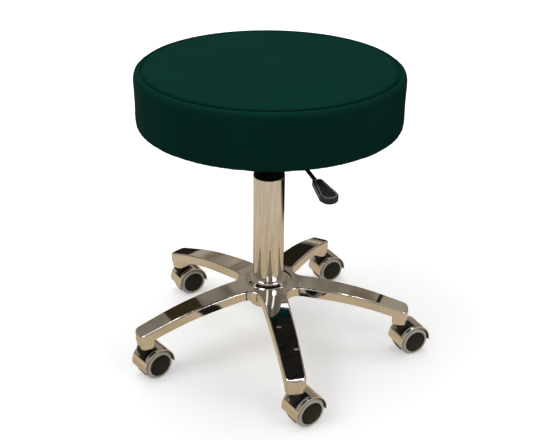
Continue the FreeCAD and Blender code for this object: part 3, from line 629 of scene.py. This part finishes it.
# %% Bend one hood
caster_trail = 17.5
axle_height = 25.0
hood_radius = 28.2
hood_wall = 1.7
hood_width = 39.0
hood_front_skirt = math.radians(7.0)
hood_back_skirt = math.radians(5.0)
hood_steps = 72
axle_middle = Vector((caster_trail, 0, axle_height)) * millimetre
hood_start = Vector((caster_trail + hood_radius * math.cos(hood_back_skirt), -hood_width / 2,
                     axle_height - hood_radius * math.sin(hood_back_skirt)))
hood_model = start_point("hood_model", hood_start)
bpy.ops.mesh.extrude_region_move(TRANSFORM_OT_translate={"value": (0, hood_width * millimetre, 0)})
bpy.ops.mesh.select_all(action="SELECT")
bpy.ops.mesh.spin(steps=hood_steps, angle=math.pi + hood_front_skirt + hood_back_skirt, axis=(0, 1, 0),
                  center=axle_middle)
close_shell()
crest_normal = max(hood_model.data.polygons, key=lambda face: face.center.z).normal.z
use_modifier(hood_model, "SOLIDIFY", thickness=hood_wall * millimetre, offset=-1 if crest_normal > 0 else 1,
             use_even_offset=True)
print("hood strip faces", len(hood_model.data.polygons))

# %% [markdown]
# The window is cut by a block with rounded corners. The cut comes before the bevel, so the window's edge
# is rounded like the rest. The polish stops at the edge: a face attribute marks the inside, and the
# finish is dull there and painted dark as the shade in the gap between hood and wheels.

# %% Cut the window and mark the inside
window_low = Vector((-7.0, -15.5, 25.0))
window_high = Vector((18.0, 15.5, 66.0))
window_round = 3.0
inward_limit = -0.5


def make_block(name, low, high):
    """A box between two corners, in millimetres, with its place in its mesh."""
    clear_choice()
    bpy.ops.mesh.primitive_cube_add(size=1, location=(low + high) / 2 * millimetre)
    piece = bpy.context.object
    piece.name = name
    piece.scale = (high - low) * millimetre
    choose(piece)
    bpy.ops.object.transform_apply(location=True, rotation=True, scale=True)
    return piece


def round_uprights(piece, width):
    """Bevel only the edges of a box that stand upright."""
    choose(piece)
    bpy.ops.object.mode_set(mode="EDIT")
    bpy.ops.mesh.select_mode(type="EDGE")
    bpy.ops.mesh.select_all(action="DESELECT")
    bpy.ops.object.mode_set(mode="OBJECT")
    points = piece.data.vertices
    for edge in piece.data.edges:
        run = points[edge.vertices[0]].co - points[edge.vertices[1]].co
        edge.select = math.hypot(run.x, run.y) < merge_gap
    bpy.ops.object.mode_set(mode="EDIT")
    bpy.ops.mesh.bevel(offset=width * millimetre, segments=6, affect="EDGES")
    bpy.ops.mesh.select_mode(type="VERT")
    bpy.ops.object.mode_set(mode="OBJECT")


window = make_block("window_cutter", window_low, window_high)
round_uprights(window, window_round)
use_modifier(hood_model, "BOOLEAN", object=window, operation="DIFFERENCE", solver="EXACT")
bpy.data.objects.remove(window)
choose(hood_model)
bpy.ops.object.mode_set(mode="EDIT")
close_shell()
round_edges(hood_model, width=0.45, angle=40)
smooth(hood_model, angle=40)
# Mark the faces that look inwards; the hood finish paints shade on them.
inside = hood_model.data.attributes.new("inside", "FLOAT", "FACE")
for face in hood_model.data.polygons:
    outwards = face.center - axle_middle
    outwards.y = 0
    faces_in = face.normal.dot(outwards.normalized()) < inward_limit
    inside.data[face.index].value = 1.0 if faces_in else 0.0
print("hood faces", len(hood_model.data.polygons))

# %% Fit a hood to each caster
swivels = {joint["child"]: joint for joint in frame["joints"] if joint["name"].endswith("_swivel")}
wheel_joints = {joint["child"]: joint for joint in frame["joints"] if joint["name"].startswith("wheel_")}
for number in range(1, caster_count + 1):
    body_name = "caster_%d" % number
    stem = Vector(swivels[body_name]["pos_m"])
    stem.z = 0
    axle = Vector(wheel_joints["wheel_%d_left" % number]["axis"])
    heading = math.atan2(-axle.x, axle.y)
    piece = copied(hood_model, "caster_%d_bright_hood" % number)
    set_mesh_place(piece, Matrix.Translation(stem) @ Matrix.Rotation(heading, 4, "Z"))
    fit_out(piece, body_name, hood_chrome, "chrome", "caster_%d_hood" % number)
bpy.data.objects.remove(hood_model)
print("hoods fitted", caster_count)

# %% [markdown]
# ## Caster wheels
# Each wheel is a soft grey ring on a black hub. The ring is turned once and rounded on its outer
# shoulder; the hub is a shallow dome with a thin step near its edge. One of each is made lying down, and
# copies are stood up on every axle.

# %% Turn one wheel
wheel_radius = 25.0
rim_radius = 18.5
rim_inside = 15.5
boss_radius = 8.0
axle_bore = 4.05
wheel_inner = 8.8
wheel_outer = 20.0
wheel_face = 21.2
bore_end = wheel_face - 4.0
disc_inner = wheel_outer - 3.0
tread_section = [(rim_radius + 0.02, wheel_inner), (wheel_radius - 0.6, wheel_inner),
                 (wheel_radius, wheel_inner + 0.6), (wheel_radius, wheel_outer - 5.5),
                 (wheel_radius - 0.45, wheel_outer - 3.2), (wheel_radius - 1.7, wheel_outer - 1.5),
                 (wheel_radius - 3.6, wheel_outer - 0.4), (wheel_radius - 5.6, wheel_outer),
                 (rim_radius + 0.25, wheel_outer), (rim_radius + 0.02, wheel_outer - 0.25)]
tread_model = lathe("tread_model", tread_section)
smooth(tread_model, angle=50)
hub_section = [(0, bore_end), (axle_bore, bore_end), (axle_bore, wheel_inner), (boss_radius, wheel_inner),
               (boss_radius, disc_inner), (rim_inside, disc_inner), (rim_inside, wheel_inner),
               (rim_radius, wheel_inner), (rim_radius, wheel_outer - 0.3), (rim_radius - 0.4, wheel_outer),
               (16.9, wheel_outer + 0.15), (16.6, wheel_outer - 0.15), (16.1, wheel_outer - 0.15),
               (15.8, wheel_outer + 0.25), (12.0, wheel_outer + 0.7), (6.0, wheel_face - 0.1),
               (0, wheel_face)]
hub_model = lathe("hub_model", hub_section, closed=False)
smooth(hub_model, angle=40)
print("wheel faces", len(tread_model.data.polygons), len(hub_model.data.polygons))

# %% Stand the wheels on their axles
for body_name, joint in wheel_joints.items():
    number, side = body_name.split("_")[1:]
    along = Vector(joint["axis"]).normalized()
    if side == "left":
        along = -along
    stand = Matrix.Translation(Vector(joint["pos_m"])) @ along.to_track_quat("Z", "Y").to_matrix().to_4x4()
    for kind, model, slot in (("tread", tread_model, "grey_tread"), ("hub", hub_model, "black_plastic")):
        piece = copied(model, "wheel_%s_%s_%s" % (number, side, kind))
        set_mesh_place(piece, stand)
        fit_out(piece, body_name, finishes[slot], slot, "caster_%s_%s_%s" % (number, kind, side))
for model in (tread_model, hub_model):
    bpy.data.objects.remove(model)
print("wheels", len(wheel_joints))

# %% [markdown]
# ## Floor, light and reflections
# The camera sees a white floor and a white background. The floor is a dull grey that takes the stool's
# shadow, and it glows for rays that the camera sees straight or in a mirror. The glow is weaker close to
# the stool, so that the shadow keeps its depth.

# %% Lay the floor
floor_radius = 8.0
floor_depth = -0.0002
floor_tone = (0.82, 0.82, 0.82)
near_glow = 0.42


def stage_material(name):
    finish = bpy.data.materials.new(name)
    finish.use_nodes = True
    tree = finish.node_tree
    tree.nodes.remove(tree.nodes["Principled BSDF"])
    return finish, tree, tree.nodes["Material Output"]


def seen_directly(tree):
    """One for rays that the camera sees straight, in a mirror or through glass, and otherwise none."""
    light_path = tree.nodes.new("ShaderNodeLightPath")
    total = light_path.outputs["Is Camera Ray"]
    for way in ("Is Glossy Ray", "Is Transmission Ray"):
        total = maths(tree, "MAXIMUM", total, light_path.outputs[way])
    return total


def coordinates(tree, kind="Object"):
    return tree.nodes.new("ShaderNodeTexCoord").outputs[kind]


def length_of(tree, vector):
    node = tree.nodes.new("ShaderNodeVectorMath")
    node.operation = "LENGTH"
    link(tree, vector, node.inputs[0])
    return node.outputs["Value"]


def lay_disc(name, radius, height, finish, points=64):
    """A round sheet about the column's axis."""
    clear_choice()
    bpy.ops.mesh.primitive_circle_add(vertices=points, radius=radius, fill_type="NGON",
                                      location=(0, 0, height))
    disc = bpy.context.object
    disc.name = name
    disc.data.materials.append(finish)
    return disc


floor_finish, tree, leave = stage_material("pale_floor")
diffuse = tree.nodes.new("ShaderNodeBsdfDiffuse")
feed(tree, floor_tone, diffuse.inputs["Color"])
glow = tree.nodes.new("ShaderNodeEmission")
far_glow = spread(tree, length_of(tree, coordinates(tree)), low=0.35, high=1.5, to_low=near_glow)
link(tree, maths(tree, "MULTIPLY", seen_directly(tree), far_glow), glow.inputs["Strength"])
both = tree.nodes.new("ShaderNodeAddShader")
link(tree, diffuse.outputs["BSDF"], both.inputs[0])
link(tree, glow.outputs["Emission"], both.inputs[1])
link(tree, both.outputs["Shader"], leave.inputs["Surface"])
floor = lay_disc("pale_floor", floor_radius, floor_depth, floor_finish, points=96)
print("floor radius", floor_radius)

# %% [markdown]
# A mirror shows its surroundings, so chrome needs something to look at. A small round room of warm cards
# stands about the stool, and only reflections can see it, as a photographer sets up card and cloth round
# a bright object. The ground is patchy, painted shade darkens it near the stool, and the wall is mottled.

# %% Build the room of cards
room_radius = 2.4
room_height = 2.9
ground_depth = -0.0001
ground_dark = (0.53, 0.43, 0.305)
ground_light = (0.68, 0.57, 0.425)
ground_shade = (0.90, 0.85, 0.75)
wall_low_tone = (0.42, 0.35, 0.27)
wall_high_tone = (0.20, 0.18, 0.15)
wall_fade_height = 2.6
mottle_dark = (0.55, 0.52, 0.48)
mottle_light = (1.12, 1.12, 1.12)
ceiling_tone = (0.50, 0.47, 0.42)
white = (1.0, 1.0, 1.0)


def reflection_only(card):
    card.visible_camera = False
    card.visible_diffuse = False
    card.visible_shadow = False
    card.visible_transmission = False


def glow_material(name):
    finish, tree, leave = stage_material(name)
    glow = tree.nodes.new("ShaderNodeEmission")
    link(tree, glow.outputs["Emission"], leave.inputs["Surface"])
    return finish, tree, glow


ground_finish, tree, glow = glow_material("warm_ground_card")
place = coordinates(tree)
patches = spread(tree, noise(tree, place, scale=5.0, detail=3.0, roughness=0.6), low=0.35, high=0.65)
ground_tones = mixed(tree, patches, ground_dark, ground_light)
# Painted shade: the ground card darkens towards the stool.
away = spread(tree, length_of(tree, place), low=0.26, high=0.50)
near_shade = mixed(tree, away, ground_shade, white)
link(tree, mixed(tree, 1.0, ground_tones, near_shade, blend="MULTIPLY"), glow.inputs["Color"])
reflection_only(lay_disc("ground_card", room_radius, ground_depth, ground_finish))

wall_finish, tree, glow = glow_material("warm_wall_card")
place = coordinates(tree)
split = tree.nodes.new("ShaderNodeSeparateXYZ")
link(tree, place, split.inputs["Vector"])
upwards = spread(tree, split.outputs["Z"], low=0.0, high=wall_fade_height)
wall_tones = mixed(tree, upwards, wall_low_tone, wall_high_tone)
clouds = spread(tree, noise(tree, place, scale=2.6, detail=4.0, roughness=0.6), low=0.38, high=0.62)
mottle = mixed(tree, clouds, mottle_dark, mottle_light)
link(tree, mixed(tree, 1.0, wall_tones, mottle, blend="MULTIPLY"), glow.inputs["Color"])
clear_choice()
bpy.ops.mesh.primitive_cylinder_add(vertices=96, radius=room_radius, depth=room_height,
                                    end_fill_type="NOTHING", location=(0, 0, room_height / 2))
wall_card = bpy.context.object
wall_card.name = "wall_card"
choose(wall_card)
bpy.ops.object.transform_apply(location=True)
wall_card.data.materials.append(wall_finish)
reflection_only(wall_card)

ceiling_finish, tree, glow = glow_material("pale_ceiling_card")
feed(tree, ceiling_tone, glow.inputs["Color"])
reflection_only(lay_disc("ceiling_card", room_radius, room_height, ceiling_finish))
print("room", room_radius, "by", room_height, "metres")

# %% [markdown]
# Dark and bright cards in the room give the chrome its contrast. The dark ones fade unevenly into the
# tone behind them, because a hard edge would look like a printed stripe. The bright ones stand in for
# windows, and one dark card lying under the front leg is a painted shadow of that leg.

# %% Stand the dark and bright cards
wall_tone = (0.29, 0.25, 0.20)
ground_tone = (0.60, 0.50, 0.365)
rag = 0.06
card_lift = 0.0002


def card_glow(name, tone, edge_tone=None):
    """A glow for a card: even, or fading unevenly to another tone near the card's edges."""
    finish, tree, glow = glow_material(name)
    feed(tree, tone, glow.inputs["Color"])
    if edge_tone is None:
        return finish
    corner = coordinates(tree, "UV")
    off_centre = tree.nodes.new("ShaderNodeVectorMath")
    off_centre.operation = "SUBTRACT"
    off_centre.inputs[1].default_value = (0.5, 0.5, 0)
    link(tree, corner, off_centre.inputs[0])
    outwards = tree.nodes.new("ShaderNodeVectorMath")
    outwards.operation = "ABSOLUTE"
    link(tree, off_centre.outputs["Vector"], outwards.inputs[0])
    split = tree.nodes.new("ShaderNodeSeparateXYZ")
    link(tree, outwards.outputs["Vector"], split.inputs["Vector"])
    farthest = maths(tree, "MAXIMUM", split.outputs["X"], split.outputs["Y"])
    clouds = noise(tree, corner, scale=6.0, detail=2.0, roughness=0.6)
    waver = spread(tree, clouds, low=0.3, high=0.7, to_low=-rag, to_high=rag)
    fade = spread(tree, maths(tree, "ADD", farthest, waver), low=0.36, high=0.5)
    link(tree, mixed(tree, fade, tone, edge_tone), glow.inputs["Color"])
    return finish


def set_card(name, finish, place, size, lying=None):
    """A card: upright and facing the column, or lying with its edge turned to an angle."""
    clear_choice()
    bpy.ops.mesh.primitive_plane_add(size=1)
    card = bpy.context.object
    card.name = name
    card.scale = (*size, 1)
    card.location = place
    card.rotation_mode = "QUATERNION"
    if lying is None:
        card.rotation_quaternion = Vector((-place[0], -place[1], 0)).to_track_quat("Z", "Y")
    else:
        card.rotation_quaternion = Quaternion((0, 0, 1), math.radians(lying))
    card.data.materials.append(finish)
    reflection_only(card)


dark_finish = card_glow("dark_card", (0.016, 0.013, 0.009), wall_tone)
brown_finish = card_glow("brown_card", (0.038, 0.027, 0.012), wall_tone)
shade_finish = card_glow("ground_shade_card", (0.014, 0.012, 0.009), ground_tone)
bright_finish = card_glow("bright_card", (1.5, 1.5, 1.5))
set_card("right_floor_dark_card", shade_finish, place=(0.61, 0.80, card_lift), size=(1.27, 2.0), lying=53)
# A painted shadow: this dark card under the front leg stands for the leg's shadow on the ground, as mirrors see
# it.
set_card("front_leg_painted_shadow_card", shade_finish, place=(0.033, -0.178, card_lift), size=(0.075, 0.05),
         lying=-79.3)
set_card("back_left_dark_card", brown_finish, place=(-1.12, 2.10, 2.04), size=(0.81, 0.60))
set_card("back_dark_card", dark_finish, place=(0.24, 2.36, 0.80), size=(0.40, 1.6))
set_card("back_left_low_dark_card", dark_finish, place=(-0.60, 2.29, 0.12), size=(0.2, 0.3))
set_card("back_right_dark_card", dark_finish, place=(1.22, 2.05, 1.23), size=(0.05, 0.3))
set_card("back_bright_card", bright_finish, place=(0, 2.33, 2.62), size=(1.9, 0.45))
set_card("front_bright_card", bright_finish, place=(-0.2, -2.29, 1.9), size=(0.45, 1.3))
set_card("front_right_bright_card", bright_finish, place=(1.71, -1.54, 1.9), size=(0.55, 1.3))

# %% [markdown]
# Three soft lamps light the stool at a plain level: the key from the left, a weak fill from the right and
# a broad one overhead. The world is white where the camera or a mirror sees it, and gives only a little
# light otherwise.

# %% Hang the lamps and light the world
world_light = 0.2


def softbox(name, place, aim_at, size, power):
    lamp = bpy.data.lights.new(name, "AREA")
    lamp.shape = "RECTANGLE"
    lamp.size = size[0]
    lamp.size_y = size[1]
    lamp.energy = power
    holder = bpy.data.objects.new(name, lamp)
    scene.collection.objects.link(holder)
    holder.location = place
    holder.rotation_mode = "QUATERNION"
    holder.rotation_quaternion = (Vector(aim_at) - Vector(place)).to_track_quat("-Z", "Y")


softbox("key_softbox", place=(-1.2, -0.7, 2.1), aim_at=(0, 0, 0.25), size=(1.2, 1.0), power=19)
softbox("fill_softbox", place=(1.5, -1.3, 1.0), aim_at=(0, 0, 0.1), size=(1.0, 0.8), power=6)
softbox("top_softbox", place=(0.1, 0.3, 2.3), aim_at=(0, 0, 0.3), size=(1.8, 1.4), power=27)
world = bpy.data.worlds.new("white_studio")
scene.world = world
world.use_nodes = True
tree = world.node_tree
background = tree.nodes["Background"]
feed(tree, white, background.inputs["Color"])
brightness = spread(tree, seen_directly(tree), low=0.0, high=1.0, to_low=world_light)
link(tree, brightness, background.inputs["Strength"])
print("lamps", [lamp.name for lamp in bpy.data.lights])
